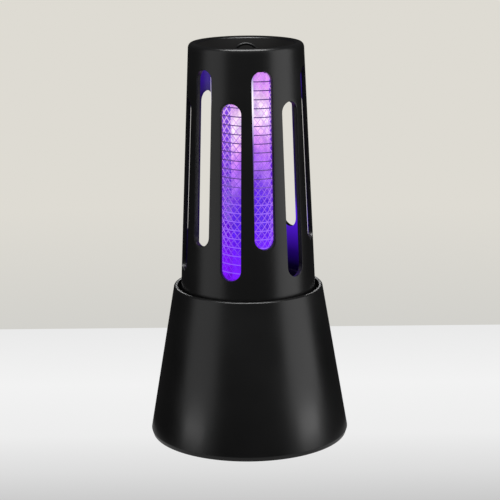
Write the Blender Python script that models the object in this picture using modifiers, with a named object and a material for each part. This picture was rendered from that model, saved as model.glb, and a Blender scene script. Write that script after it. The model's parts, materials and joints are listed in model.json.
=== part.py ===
"""Electric bug zapper: a conical base with a slotted shroud over a lamp and a wire grid.

The frame is +Z up, with the origin at the centre of the surface that the feet stand on. The front is -Y.
Azimuths are measured from -Y towards +X, as seen from the front.
"""

import math

import bmesh
import bpy
from mathutils import Matrix, Vector

# ---- Driving dimensions, in metres ----
GAP = 0.0003  # clearance between pieces that touch

HEIGHT = 0.17745  # floor to the shroud's rim
BASE_R = 0.045
BASE_TOP_R = 0.0332
BASE_TOP_Z = 0.069
BASE_BOTTOM_Z = 0.0006
BASE_WALL = 0.0022
FOOT_BEVEL_Z = 0.0026  # top of the narrow bevel around the foot of the cone
FOOT_BEVEL_DEPTH = 0.0010
SHOULDER_R = 0.0011  # rounding of the cone's top edge
COLLAR_R = 0.0315  # inner edge of the rounded shoulder, outside the dark groove around the shroud
COLLAR_Z = 0.065  # underside of the shoulder's lip

SHROUD_LOW_R = 0.0300  # outer radius level with the base's top
SHROUD_TOP_R = 0.0252
SHROUD_WALL = 0.0020
SHROUD_BOTTOM_Z = 0.0660
RIM_R = 0.0020
RIM_INNER_R = 0.0215
LIP_Z = HEIGHT - 0.0028  # underside of the rim's inner lip

SLOT_COUNT = 12
SLOT_WIDTH = 0.0092
SLOT_FIRST_DEG = -15.0  # centre of the first, low slot
LOW_SLOT_Z = (0.0774, 0.1540)
HIGH_SLOT_Z = (0.0910, 0.16775)

DISH_EDGE_Z = 0.1766
DISH_BOTTOM_Z = 0.1726
DISH_EDGE_R = RIM_INNER_R - GAP
DISH_BOTTOM_R = 0.0108
WELL_R = 0.0100
WELL_Z = 0.1695  # floor of the well under the hanging loop
WELL_EDGE_DROP = 0.0006  # rounding between the well and the dish
CAP_WALL = 0.0015
CAP_FLANGE_R = 0.0226

LOOP_R = 0.0058  # to the middle of the loop's wire
LOOP_WIRE_R = 0.00065
LOOP_Z = 0.1708  # height of the loop's pivot
EYE_R = 0.0013
EYE_WIDTH = 0.0014
PIN_R = 0.0005
PIN_HOLE_R = 0.0007
LUG_X = (0.0070, 0.0090)
LUG_HALF_Y = 0.0016
LUG_TOP_Z = LOOP_Z + 0.0014

CAGE_BOTTOM_Z = 0.0715  # top face of the lower holder
CAGE_TOP_Z = 0.1662  # underside of the upper holder
HOLDER_R = 0.0174
UPPER_HOLDER_THICKNESS = 0.0014
UPPER_HOLDER_EDGE = 0.0005
HELIX_R = 0.0150
HELIX_WIRE_R = 0.00045
HELIX_TURNS = 9
LATTICE_R = 0.0131
LATTICE_WIRE = 0.0008
LATTICE_AROUND = 8
LATTICE_ROWS = 6
POST_COUNT = 3
POST_R = 0.0005
POST_HOLE_R = 0.0007
POST_RING_R = 0.01625
POST_FIRST_DEG = 9.0
POST_SOCKET_Z = 0.0688
LAMP_R = 0.0085
LAMP_X = 0.0015  # the lamp stands a little to the right of the axis
LAMP_WALL = 0.0012
GUIDE_R = 0.0124
GUIDE_WALL = 0.0012
LAMP_BOARD_HALF_X = 0.0042
LAMP_BOARD_HALF_Y = 0.0005
LED_COUNT = 4
LED_HALF = 0.0018
LED_FRONT_Y = -0.0022

DECK_Z = (0.0624, 0.0646)
DECK_R = 0.0312
SPIGOT_R = 0.0273
SPIGOT_WALL = 0.0014
SPIGOT_TOP_Z = 0.0710
LEAD_HOLE_R = 0.0080
HOLDER_SCREW_RING_R = 0.0125
HOLDER_SCREW_FIRST_DEG = 60.0
HOLDER_SCREW_COUNT = 3
HOLDER_PILOT_TOP_Z = 0.0696
SEAL_WIDTH = 0.0022

COVER_Z = (0.0010, 0.0034)
COVER_R = 0.0421
COVER_EDGE = 0.0004
COVER_SINK_Z = 0.0022  # ceiling of the counterbores for the cover screws
FOOT_COUNT = 4
FOOT_RING_R = 0.0330
FOOT_R = 0.0050
FOOT_RECESS = 0.0008
FOOT_EDGE = 0.0004
BOSS_COUNT = 4
BOSS_FIRST_DEG = 45.0
BOSS_RING_R = 0.0362
BOSS_R = 0.0034
BOSS_Z = (0.0037, 0.0240)
BOSS_PILOT_TOP_Z = 0.0165

CELL_R = 0.00915
CELL_LENGTH = 0.065
CELL_Y = -0.002
CELL_Z = 0.01475
CELL_EDGE = 0.0006
CELL_TIP_R = 0.0028
CELL_TIP = 0.0012
CONTACT_THICKNESS = 0.0008
CONTACT_HALF = (0.004, 0.0055)
HOLDER_FLOOR_Z = (0.0037, 0.0053)
HOLDER_HALF = (0.0355, 0.0106)
PLATE_HALF = (0.020, 0.0185)
BED_CLEARANCE = 0.0015  # room for the contacts at each end of the cell
BOARD_Z = (0.0260, 0.0276)
BOARD_X = 0.020
BOARD_Y = (-0.020, 0.0295)
BOARD_PARTS_Z = BOARD_Z[1] + GAP
PILLAR_X = 0.016
PILLAR_Y = 0.015
PILLAR_R = 0.0026
PILLAR_PILOT_LOW_Z = 0.018
QUADRANTS = ((1, 1), (-1, 1), (-1, -1), (1, -1))

USB_Z = 0.0296
USB_LENGTH = 0.0078
USB_FRONT_Y = BOARD_Y[1] + 0.0065
USB_SIZE = (0.0090, 0.0034)
USB_WALL = 0.0003
USB_OPENING = (0.0104, 0.0046)
BUTTON_Z = 0.0460
BUTTON_R = 0.0050
BUTTON_FACE_Y = 0.0382
BUTTON_TRAVEL = 0.0012
BUTTON_FLANGE = 0.0010
BUTTON_FLANGE_THICKNESS = 0.0014
SWITCH_BOARD_Y = (0.0210, 0.0224)
SWITCH_BOARD_HALF_X = 0.009
SWITCH_BOARD_Z = (0.0345, 0.0560)
SWITCH_HALF = 0.003
SWITCH_DEPTH = 0.0038
PLUNGER_R = 0.0016
PLUNGER_END_Y = 0.0293
PIPE_Z = 0.0375
PIPE_R = 0.0012
LEAD_R = 0.0007

# ---- Materials: base colour, roughness, metallic ----
MATERIALS = {
    "black_plastic": ((0.012, 0.012, 0.013), 0.38, 0.0),
    "dark_plastic": ((0.02, 0.02, 0.022), 0.5, 0.0),
    "white_plastic": ((0.72, 0.72, 0.70), 0.4, 0.0),
    "rubber": ((0.02, 0.02, 0.02), 0.8, 0.0),
    "steel": ((0.55, 0.56, 0.58), 0.3, 1.0),
    "wire": ((0.62, 0.62, 0.66), 0.25, 1.0),
    "board_green": ((0.02, 0.12, 0.05), 0.5, 0.0),
    "lamp": ((0.72, 0.45, 0.95), 0.3, 0.0),
    "cell_wrap": ((0.05, 0.16, 0.42), 0.45, 0.0),
    "component_yellow": ((0.75, 0.55, 0.06), 0.5, 0.0),
    "clear_pipe": ((0.85, 0.87, 0.88), 0.15, 0.0),
    "red_lead": ((0.45, 0.02, 0.02), 0.5, 0.0),
}


# ---- Helpers ----
def clear_scene():
    for obj in list(bpy.data.objects):
        bpy.data.objects.remove(obj, do_unlink=True)


def new_collection(name):
    collection = bpy.data.collections.new(name)
    bpy.context.scene.collection.children.link(collection)
    return collection


def make_material(name):
    colour, roughness, metallic = MATERIALS[name]
    material = bpy.data.materials.get(name) or bpy.data.materials.new(name)
    material.use_nodes = True
    shader = material.node_tree.nodes["Principled BSDF"]
    shader.inputs["Base Color"].default_value = (*colour, 1.0)
    shader.inputs["Roughness"].default_value = roughness
    shader.inputs["Metallic"].default_value = metallic
    return material


def add_object(name, data, material, collection):
    obj = bpy.data.objects.new(name, data)
    collection.objects.link(obj)
    if material:
        data.materials.append(make_material(material))
    return obj


def smooth(mesh, angle_deg=35.0):
    mesh.shade_smooth()
    mesh.set_sharp_from_angle(angle=math.radians(angle_deg))


def at_azimuth(radius, azimuth_deg, z=0.0):
    """A point at this radius and azimuth; azimuth 0 is the front."""
    angle = math.radians(azimuth_deg)
    return Vector((radius * math.sin(angle), -radius * math.cos(angle), z))


def ring_of(radius, first_deg, count):
    """Evenly spaced places on a circle about the axis."""
    return [at_azimuth(radius, first_deg + 360.0 * i / count) for i in range(count)]


def arc(centre, radius, start_deg, end_deg, steps):
    """Points (r, z) along an arc, with both ends."""
    points = []
    for i in range(steps + 1):
        angle = math.radians(start_deg + (end_deg - start_deg) * i / steps)
        points.append((centre[0] + radius * math.cos(angle), centre[1] + radius * math.sin(angle)))
    return points


def turned(name, profile, material, collection, steps=48, closed=False):
    """A profile of (r, z), down its outer side and back up inside, turned about Z."""
    mesh = bpy.data.meshes.new(name)
    edges = [(i, i + 1) for i in range(len(profile) - 1)]
    if closed:
        edges.append((len(profile) - 1, 0))
    mesh.from_pydata([(r, 0.0, z) for r, z in profile], edges, [])
    obj = add_object(name, mesh, material, collection)
    screw = obj.modifiers.new("Turn", "SCREW")
    screw.axis = "Z"
    screw.angle = 2 * math.pi
    screw.steps = steps
    screw.render_steps = steps
    screw.use_merge_vertices = True
    screw.merge_threshold = 0.00001
    screw.use_smooth_shade = True
    return obj


def turned_ring(name, inner, outer, low, high, material, collection, steps):
    """A plain ring or tube."""
    profile = [(inner, high), (outer, high), (outer, low), (inner, low)]
    return turned(name, profile, material, collection, steps, closed=True)


def cylinder(name, radius, start, end, material, collection, segments=16):
    """A cylinder between two points, with its origin half way."""
    start, end = Vector(start), Vector(end)
    direction = end - start
    mesh = bpy.data.meshes.new(name)
    bm = bmesh.new()
    bmesh.ops.create_cone(
        bm, cap_ends=True, segments=segments, radius1=radius, radius2=radius, depth=direction.length
    )
    bm.to_mesh(mesh)
    bm.free()
    smooth(mesh)
    obj = add_object(name, mesh, material, collection)
    obj.rotation_euler = direction.to_track_quat("Z", "Y").to_euler()
    obj.location = (start + end) / 2
    return obj


def upright(name, radius, place, z_range, material, collection, segments):
    """A cylinder along Z at this place."""
    x, y = place[:2]
    return cylinder(name, radius, (x, y, z_range[0]), (x, y, z_range[1]), material, collection, segments)


def along_y(name, radius, z, y_range, material, collection, segments):
    """A cylinder along Y in the plane of symmetry."""
    return cylinder(name, radius, (0, y_range[0], z), (0, y_range[1], z), material, collection, segments)


def box(name, low, high, material, collection, bevel=0.0):
    """A box between two corners, with its origin at its centre."""
    low, high = Vector(low), Vector(high)
    mesh = bpy.data.meshes.new(name)
    bm = bmesh.new()
    bmesh.ops.create_cube(bm, size=1.0, matrix=Matrix.Diagonal((*(high - low), 1.0)))
    bm.to_mesh(mesh)
    bm.free()
    obj = add_object(name, mesh, material, collection)
    obj.location = (low + high) / 2
    if bevel:
        edge = obj.modifiers.new("Edges", "BEVEL")
        edge.width = bevel
        edge.segments = 1
    return obj


def rounded_outline(width, height, radius, steps):
    """Points around a rectangle with round corners, centred on the origin."""
    x, y = width / 2 - radius, height / 2 - radius
    corners = (((x, y), 0), ((-x, y), 90), ((-x, -y), 180), ((x, -y), 270))
    points = []
    for centre, start in corners:
        points += arc(centre, radius, start, start + 90, steps)
    return points


def mesh_from_curve(guide, name):
    """The curve object's closed mesh, with its caps welded; the curve is removed."""
    evaluated = guide.evaluated_get(bpy.context.evaluated_depsgraph_get())
    mesh = bpy.data.meshes.new_from_object(evaluated)
    mesh.name = name
    mesh.materials.clear()
    bpy.data.objects.remove(guide, do_unlink=True)
    bm = bmesh.new()
    bm.from_mesh(mesh)
    bmesh.ops.remove_doubles(bm, verts=bm.verts, dist=0.000001)
    bmesh.ops.recalc_face_normals(bm, faces=bm.faces)
    bm.to_mesh(mesh)
    bm.free()
    return mesh


def prism(name, outline, depth, material, collection):
    """A flat outline in XY, filled and extruded along Z."""
    curve = bpy.data.curves.new(name + "_outline", "CURVE")
    curve.dimensions = "2D"
    curve.fill_mode = "BOTH"
    curve.extrude = depth / 2
    spline = curve.splines.new("POLY")
    spline.points.add(len(outline) - 1)
    for point, (x, y) in zip(spline.points, outline):
        point.co = (x, y, 0.0, 1.0)
    spline.use_cyclic_u = True
    guide = add_object(name + "_guide", curve, None, collection)
    return add_object(name, mesh_from_curve(guide, name), material, collection)


def prism_along_y(name, outline, place, depth, material, collection, azimuth_deg=0.0):
    """A prism turned so that its outline faces along Y, or along a radius at this azimuth."""
    obj = prism(name, outline, depth, material, collection)
    obj.rotation_euler = (math.radians(90), 0, math.radians(azimuth_deg))
    obj.location = place
    return obj


def wire(name, points, radius, material, collection, resolution=0):
    """A round wire through these points, with filled ends."""
    curve = bpy.data.curves.new(name, "CURVE")
    curve.dimensions = "3D"
    curve.bevel_depth = radius
    curve.bevel_resolution = resolution
    curve.use_fill_caps = True
    spline = curve.splines.new("POLY")
    spline.points.add(len(points) - 1)
    for point, place in zip(spline.points, points):
        point.co = (*place, 1.0)
    spline.use_smooth = True
    return add_object(name, curve, material, collection)


def combine(obj, helper, operation):
    helper.hide_render = True
    helper.display_type = "WIRE"
    modifier = obj.modifiers.new(helper.name, "BOOLEAN")
    modifier.object = helper
    modifier.operation = operation
    modifier.solver = "EXACT"


def cut(obj, *cutters):
    for cutter in cutters:
        combine(obj, cutter, "DIFFERENCE")


def join(obj, *additions):
    for addition in additions:
        combine(obj, addition, "UNION")


def base_radius(z):
    """Outer radius of the base's cone at this height."""
    return BASE_R + (BASE_TOP_R - BASE_R) * z / BASE_TOP_Z


def shroud_radius(z):
    """Outer radius of the shroud at this height."""
    share = (z - BASE_TOP_Z) / (HEIGHT - BASE_TOP_Z)
    return SHROUD_LOW_R + (SHROUD_TOP_R - SHROUD_LOW_R) * share


def smooth_route(points, per_span=4):
    """Points along a Catmull-Rom curve through these points."""
    points = [Vector(p) for p in points]
    padded = [points[0], *points, points[-1]]
    route = []
    for a, b, c, d in zip(padded, padded[1:], padded[2:], padded[3:]):
        for i in range(per_span):
            t = i / per_span
            square = (2 * a - 5 * b + 4 * c - d) * t**2
            cube = (3 * b - a - 3 * c + d) * t**3
            route.append(0.5 * (2 * b + (c - a) * t + square + cube))
    return route + [points[-1]]


# ---- Base ----
def make_base_shell(parts, cutters):
    inner = [
        (base_radius(BASE_BOTTOM_Z) - BASE_WALL, BASE_BOTTOM_Z),
        (base_radius(COLLAR_Z) - BASE_WALL, COLLAR_Z),
        (COLLAR_R, COLLAR_Z),
        (COLLAR_R, BASE_TOP_Z),
    ]
    outer = (
        arc((BASE_TOP_R - SHOULDER_R, BASE_TOP_Z - SHOULDER_R), SHOULDER_R, 90, 0, 3)
        + [(base_radius(FOOT_BEVEL_Z), FOOT_BEVEL_Z)]
        + [(base_radius(BASE_BOTTOM_Z) - FOOT_BEVEL_DEPTH, BASE_BOTTOM_Z)]
    )
    shell = turned("base_shell", outer + inner, "black_plastic", parts, steps=48, closed=True)
    bosses = []
    pilots = []
    pilot_z = (BOSS_Z[0] - 0.001, BOSS_PILOT_TOP_Z)
    for i, place in enumerate(ring_of(BOSS_RING_R, BOSS_FIRST_DEG, BOSS_COUNT)):
        bosses.append(upright(f"boss_{i + 1}", BOSS_R, place, BOSS_Z, None, cutters, 12))
        pilots.append(upright(f"boss_pilot_{i + 1}", 0.0016, place, pilot_z, None, cutters, 8))
    join(shell, *bosses)
    cut(shell, *pilots)
    usb_outline = rounded_outline(*USB_OPENING, 0.0022, 3)
    usb = prism_along_y("usb_cutout", usb_outline, (0, base_radius(USB_Z), USB_Z), 0.010, None, cutters)
    wall_y = base_radius(BUTTON_Z)
    button_y = (wall_y - 0.006, wall_y + 0.004)
    button = along_y("button_cutout", BUTTON_R + GAP, BUTTON_Z, button_y, None, cutters, 24)
    wall_y = base_radius(PIPE_Z)
    pipe_y = (wall_y - 0.004, wall_y + 0.004)
    pipe = along_y("pipe_cutout", PIPE_R + GAP, PIPE_Z, pipe_y, None, cutters, 12)
    cut(shell, usb, button, pipe)


def make_bottom_cover(parts, cutters):
    low, high = COVER_Z
    edge = [(COVER_R - COVER_EDGE, high), (COVER_R, high - COVER_EDGE), (COVER_R, low)]
    cover = turned("bottom_cover", [(0, high), *edge, (0, low)], "dark_plastic", parts, steps=36)
    below = low - 0.002
    for i, place in enumerate(ring_of(BOSS_RING_R, BOSS_FIRST_DEG, BOSS_COUNT)):
        hole = upright(f"cover_hole_{i + 1}", 0.0018, place, (below, high + 0.0016), None, cutters, 12)
        sink = upright(f"cover_sink_{i + 1}", 0.0031, place, (below, COVER_SINK_Z), None, cutters, 16)
        cut(cover, hole, sink)
    recess_z = (below, low + FOOT_RECESS)
    for i, place in enumerate(ring_of(FOOT_RING_R, 0, FOOT_COUNT)):
        cut(cover, upright(f"foot_recess_{i + 1}", FOOT_R + GAP, place, recess_z, None, cutters, 20))


def make_feet(parts):
    top = COVER_Z[0] + FOOT_RECESS - 0.0002
    profile = [(0, top), (FOOT_R, top), (FOOT_R, FOOT_EDGE), (FOOT_R - FOOT_EDGE, 0), (0, 0)]
    for i, place in enumerate(ring_of(FOOT_RING_R, 0, FOOT_COUNT)):
        foot = turned(f"rubber_foot_{i + 1}", profile, "rubber", parts, steps=16)
        foot.location = place


def screw_profile(head_r, head_h, shank_r, length, under_z):
    """A pan-head screw, driven up from below: its head's top face is at under_z."""
    tip = under_z + length
    return [
        (0, tip),
        (shank_r, tip - 0.0015),
        (shank_r, under_z),
        (head_r, under_z),
        (head_r * 0.8, under_z - head_h),
        (0, under_z - head_h),
    ]


def make_screws(parts, name, places, profile):
    for i, place in enumerate(places):
        screw = turned(f"{name}_{i + 1}", profile, "steel", parts, steps=10)
        screw.location = place


def make_cover_screws(parts):
    profile = screw_profile(0.0027, 0.0009, 0.0012, 0.0130, COVER_SINK_Z - GAP)
    make_screws(parts, "cover_screw", ring_of(BOSS_RING_R, BOSS_FIRST_DEG, BOSS_COUNT), profile)


def holder_screw_places():
    return ring_of(HOLDER_SCREW_RING_R, HOLDER_SCREW_FIRST_DEG, HOLDER_SCREW_COUNT)


def make_base_deck(parts, cutters):
    low, high = DECK_Z
    profile = [
        (LEAD_HOLE_R, high),
        (SPIGOT_R - SPIGOT_WALL, high),
        (SPIGOT_R - SPIGOT_WALL, SPIGOT_TOP_Z),
        (SPIGOT_R, SPIGOT_TOP_Z),
        (SPIGOT_R, high),
        (DECK_R, high),
        (DECK_R, low),
        (LEAD_HOLE_R, low),
    ]
    deck = turned("base_deck", profile, "dark_plastic", parts, steps=36, closed=True)
    hole_z = (low - 0.002, high + 0.002)
    for i, place in enumerate(holder_screw_places()):
        cut(deck, upright(f"deck_hole_{i + 1}", 0.0016, place, hole_z, None, cutters, 10))


def make_deck_screws(parts):
    profile = screw_profile(0.0024, 0.0014, 0.0011, 0.0070, DECK_Z[0] - GAP)
    make_screws(parts, "holder_screw", holder_screw_places(), profile)


# ---- Power and electronics inside the base ----
def make_battery_holder(parts, cutters):
    half_x, half_y = HOLDER_HALF
    low, high = HOLDER_FLOOR_Z
    bottom = (-half_x, CELL_Y - half_y, low)
    top = (half_x, CELL_Y + half_y, CELL_Z + GAP)
    holder = box("battery_holder", bottom, top, "dark_plastic", parts)
    plate_x, plate_y = PLATE_HALF
    plate = box("holder_plate", (-plate_x, -plate_y, low), (plate_x, plate_y, high), None, cutters)
    pillars = []
    pilots = []
    pillar_z = (low + 0.0002, BOARD_Z[0] - GAP)
    pilot_z = (PILLAR_PILOT_LOW_Z, BOARD_Z[1])
    for i, (sx, sy) in enumerate(QUADRANTS):
        place = (sx * PILLAR_X, sy * PILLAR_Y)
        pillars.append(upright(f"pillar_{i + 1}", PILLAR_R, place, pillar_z, None, cutters, 12))
        pilots.append(upright(f"pillar_pilot_{i + 1}", 0.0013, place, pilot_z, None, cutters, 8))
    join(holder, plate, *pillars)
    half_bed = CELL_LENGTH / 2 + BED_CLEARANCE
    start, end = (-half_bed, CELL_Y, CELL_Z), (half_bed, CELL_Y, CELL_Z)
    bed = cylinder("cell_bed", CELL_R + GAP, start, end, None, cutters, 32)
    cut(holder, bed, *pilots)


def make_cell(parts):
    half = CELL_LENGTH / 2
    profile = [
        (0, half),
        (CELL_TIP_R, half),
        (CELL_TIP_R, half - CELL_TIP),
        (CELL_R - CELL_EDGE, half - CELL_TIP),
        (CELL_R, half - CELL_TIP - CELL_EDGE),
        (CELL_R, CELL_EDGE - half),
        (CELL_R - CELL_EDGE, -half),
        (0, -half),
    ]
    cell = turned("battery_cell", profile, "cell_wrap", parts, steps=32)
    cell.rotation_euler = (0, math.radians(90), 0)
    cell.location = (0, CELL_Y, CELL_Z)
    half_y, half_z = CONTACT_HALF
    for i, side in enumerate((1, -1)):
        x = sorted((side * (half + GAP), side * (half + GAP + CONTACT_THICKNESS)))
        low = (x[0], CELL_Y - half_y, CELL_Z - half_z)
        high = (x[1], CELL_Y + half_y, CELL_Z + half_z)
        box(f"battery_contact_{i + 1}", low, high, "steel", parts)


def make_main_board(parts, cutters):
    low, high = BOARD_Z
    corner = (-BOARD_X, BOARD_Y[0], low)
    board = box("main_board", corner, (BOARD_X, BOARD_Y[1], high), "board_green", parts)
    profile = screw_profile(0.0024, 0.0013, 0.0010, 0.0080, -BOARD_PARTS_Z)
    for i, (sx, sy) in enumerate(QUADRANTS):
        place = (sx * PILLAR_X, sy * PILLAR_Y, 0)
        hole_z = (low - 0.002, high + 0.002)
        cut(board, upright(f"board_hole_{i + 1}", 0.0015, place, hole_z, None, cutters, 12))
        screw = turned(f"board_screw_{i + 1}", profile, "steel", parts, steps=10)
        screw.rotation_euler = (math.pi, 0, 0)
        screw.location = place


def make_board_parts(parts, cutters):
    """Step-up transformer with its winding's round top, and the two high-voltage capacitors."""
    top = BOARD_PARTS_Z
    low, high = (-0.013, -0.015, top), (0.003, 0.001, top + 0.013)
    transformer = box("transformer", low, high, "dark_plastic", parts, 0.0006)
    band_z = (top + 0.010, top + 0.0145)
    join(transformer, upright("transformer_band", 0.0062, (-0.005, -0.007), band_z, None, cutters, 20))
    for i, y in enumerate((-0.012, -0.002)):
        name = f"hv_capacitor_{i + 1}"
        upright(name, 0.0040, (0.0085, y), (top, top + 0.011), "component_yellow", parts, 20)


def make_usb_port(parts, cutters):
    """Charging socket: a rounded metal sleeve with a tongue inside it."""
    middle = USB_FRONT_Y - USB_LENGTH / 2
    width, height = USB_SIZE
    sleeve_outline = rounded_outline(width, height, 0.0016, 4)
    sleeve = prism_along_y("usb_port", sleeve_outline, (0, middle, USB_Z), USB_LENGTH, "steel", parts)
    bore_outline = rounded_outline(width - 2 * USB_WALL, height - 2 * USB_WALL, 0.0013, 4)
    bore_place = (0, middle + 0.0010, USB_Z)
    cut(sleeve, prism_along_y("usb_bore", bore_outline, bore_place, USB_LENGTH, None, cutters))
    low = (-0.0031, USB_FRONT_Y - USB_LENGTH + 0.0013, USB_Z - 0.0004)
    high = (0.0031, USB_FRONT_Y - 0.0010, USB_Z + 0.0004)
    box("usb_tongue", low, high, "dark_plastic", parts)


def make_switch(parts, cutters):
    """The small switch on its own upright board, with the plunger that the button pushes."""
    front, back = SWITCH_BOARD_Y
    corner = (-SWITCH_BOARD_HALF_X, front, SWITCH_BOARD_Z[0])
    box("switch_board", corner, (SWITCH_BOARD_HALF_X, back, SWITCH_BOARD_Z[1]), "board_green", parts)
    body_y = (back + GAP, back + GAP + SWITCH_DEPTH)
    low = (-SWITCH_HALF, body_y[0], BUTTON_Z - SWITCH_HALF)
    high = (SWITCH_HALF, body_y[1], BUTTON_Z + SWITCH_HALF)
    switch = box("tact_switch", low, high, "dark_plastic", parts)
    well_y = (body_y[0] + 0.0007, body_y[1] + 0.002)
    cut(switch, along_y("switch_well", PLUNGER_R + GAP, BUTTON_Z, well_y, None, cutters, 16))
    plunger_y = (well_y[0] + BUTTON_TRAVEL + GAP, PLUNGER_END_Y)
    along_y("switch_plunger", PLUNGER_R, BUTTON_Z, plunger_y, "white_plastic", parts, 16)


def make_button(parts):
    back = PLUNGER_END_Y + GAP
    front = back + BUTTON_FLANGE_THICKNESS
    profile = [
        (0, BUTTON_FACE_Y - 0.0003),
        (0.0030, BUTTON_FACE_Y - 0.0002),
        (BUTTON_R - 0.0006, BUTTON_FACE_Y),
        (BUTTON_R, BUTTON_FACE_Y - 0.0006),
        (BUTTON_R, front),
        (BUTTON_R + BUTTON_FLANGE, front),
        (BUTTON_R + BUTTON_FLANGE, back),
        (0, back),
    ]
    button = turned("power_button", profile, "dark_plastic", parts, steps=32)
    button.rotation_euler = (math.radians(-90), 0, 0)
    button.location = (0, 0, BUTTON_Z)


def make_charge_light(parts):
    board_y = SWITCH_BOARD_Y[1]
    low = (-0.0010, board_y + GAP, PIPE_Z - 0.0008)
    high = (0.0010, board_y + 0.0012, PIPE_Z + 0.0008)
    box("charge_led", low, high, "white_plastic", parts)
    pipe_y = (board_y + 0.0015, base_radius(PIPE_Z) - 0.0002)
    along_y("charge_light_pipe", PIPE_R, PIPE_Z, pipe_y, "clear_pipe", parts, 12)


def make_leads(parts):
    """High-voltage leads to the grid, lamp lead up the middle, and the two battery leads."""
    board, holder = BOARD_PARTS_Z, DECK_Z[1]
    outer = ((-0.017, -0.004, board), (-0.017, -0.004, 0.040), (-0.009, -0.001, 0.056), (-0.0055, 0, holder))
    inner = ((0.016, 0.004, board), (0.015, 0.004, 0.042), (0.009, 0.002, 0.056), (0.0055, 0, holder))
    lamp = ((-0.004, 0.009, board), (-0.004, 0.008, 0.042), (0, 0.006, 0.054), (0, 0.0045, holder))
    cell = ((0.0262, 0.0095, 0.012), (0.0262, 0.012, 0.020), (0.0235, 0.013, 0.026), (0.0215, 0.0115, 0.0268))
    wire("hv_lead_outer", smooth_route(outer), LEAD_R, "red_lead", parts)
    wire("hv_lead_inner", smooth_route(inner), LEAD_R, "rubber", parts)
    wire("lamp_lead", smooth_route(lamp), LEAD_R, "rubber", parts)
    wire("battery_lead_1", smooth_route(cell), LEAD_R, "red_lead", parts)
    wire("battery_lead_2", smooth_route([(-x, y, z) for x, y, z in cell]), LEAD_R, "rubber", parts)


# ---- Grid and lamp ----
def post_places():
    return ring_of(POST_RING_R, POST_FIRST_DEG, POST_COUNT)


def make_grid_holders(parts, cutters):
    low, high = DECK_Z[1] + GAP, CAGE_BOTTOM_Z
    profile = [(0, high), (HOLDER_R, high), (HOLDER_R, low), (0, low)]
    lower = turned("lower_grid_holder", profile, "dark_plastic", parts, steps=32)
    low, high = CAGE_TOP_Z, CAGE_TOP_Z + UPPER_HOLDER_THICKNESS
    edge = [(HOLDER_R - UPPER_HOLDER_EDGE, high), (HOLDER_R, high - UPPER_HOLDER_EDGE), (HOLDER_R, low)]
    upper = turned("upper_grid_holder", [(0, high), *edge, (0, low)], "dark_plastic", parts, steps=32)
    socket_z = (POST_SOCKET_Z, CAGE_BOTTOM_Z + 0.002)
    hole_z = (low - 0.002, high + 0.002)
    for i, place in enumerate(post_places()):
        cut(lower, upright(f"post_socket_{i + 1}", POST_HOLE_R, place, socket_z, None, cutters, 8))
        cut(upper, upright(f"post_hole_{i + 1}", POST_HOLE_R, place, hole_z, None, cutters, 8))
    pilot_z = (DECK_Z[0], HOLDER_PILOT_TOP_Z)
    for i, place in enumerate(holder_screw_places()):
        cut(lower, upright(f"holder_pilot_{i + 1}", 0.0014, place, pilot_z, None, cutters, 8))


def make_posts(parts):
    post_z = (POST_SOCKET_Z + GAP, CAGE_TOP_Z + UPPER_HOLDER_THICKNESS - 0.0002)
    for i, place in enumerate(post_places()):
        upright(f"grid_post_{i + 1}", POST_R, place, post_z, "wire", parts, 8)


def make_outer_grid(parts):
    """The outer electrode: one wire wound in a helix."""
    low, high = CAGE_BOTTOM_Z + 0.0008, CAGE_TOP_Z - 0.0008
    per_turn = 16
    count = HELIX_TURNS * per_turn
    points = []
    for i in range(count + 1):
        points.append(at_azimuth(HELIX_R, -360.0 * i / per_turn, low + (high - low) * i / count))
    wire("outer_grid", points, HELIX_WIRE_R, "wire", parts)


def make_inner_grid(parts):
    """The inner electrode: a tube of diamond mesh, from a diagonal net of faces given a wire frame."""
    low, high = CAGE_BOTTOM_Z + 0.0010, CAGE_TOP_Z - 0.0010
    bm = bmesh.new()
    rows = []
    for j in range(2 * LATTICE_ROWS + 1):
        z = low + (high - low) * j / (2 * LATTICE_ROWS)
        turn = 180.0 / LATTICE_AROUND * (j % 2)
        row = []
        for i in range(LATTICE_AROUND):
            row.append(bm.verts.new(at_azimuth(LATTICE_R, 360.0 * i / LATTICE_AROUND + turn, z)))
        rows.append(row)
    for j in range(2 * LATTICE_ROWS - 1):
        below, beside, above = rows[j], rows[j + 1], rows[j + 2]
        shift = j % 2
        for i in range(LATTICE_AROUND):
            right = beside[(i + shift) % LATTICE_AROUND]
            left = beside[(i + shift - 1) % LATTICE_AROUND]
            bm.faces.new((below[i], right, above[i], left))
    mesh = bpy.data.meshes.new("inner_grid")
    bm.to_mesh(mesh)
    bm.free()
    grid = add_object("inner_grid", mesh, "wire", parts)
    frame = grid.modifiers.new("Wires", "WIREFRAME")
    frame.thickness = LATTICE_WIRE
    frame.offset = 0.0
    frame.use_even_offset = False
    frame.use_boundary = True


def make_lamp(parts):
    low, high = CAGE_BOTTOM_Z + GAP, CAGE_TOP_Z - GAP
    lamp = turned_ring("lamp_tube", LAMP_R - LAMP_WALL, LAMP_R, low, high, "lamp", parts, 24)
    lamp.location = (LAMP_X, 0, 0)
    turned_ring("light_guide", GUIDE_R - GUIDE_WALL, GUIDE_R, low, high, "lamp", parts, 24)
    corner = (LAMP_X - LAMP_BOARD_HALF_X, -LAMP_BOARD_HALF_Y, low)
    other = (LAMP_X + LAMP_BOARD_HALF_X, LAMP_BOARD_HALF_Y, high - 0.004)
    box("lamp_board", corner, other, "white_plastic", parts)
    spacing = (high - low) / (LED_COUNT + 1)
    for i in range(LED_COUNT):
        z = low + spacing * (i + 1)
        corner = (LAMP_X - LED_HALF, LED_FRONT_Y, z - LED_HALF)
        other = (LAMP_X + LED_HALF, -LAMP_BOARD_HALF_Y - GAP, z + LED_HALF)
        box(f"uv_led_{i + 1}", corner, other, "component_yellow", parts)


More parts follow.
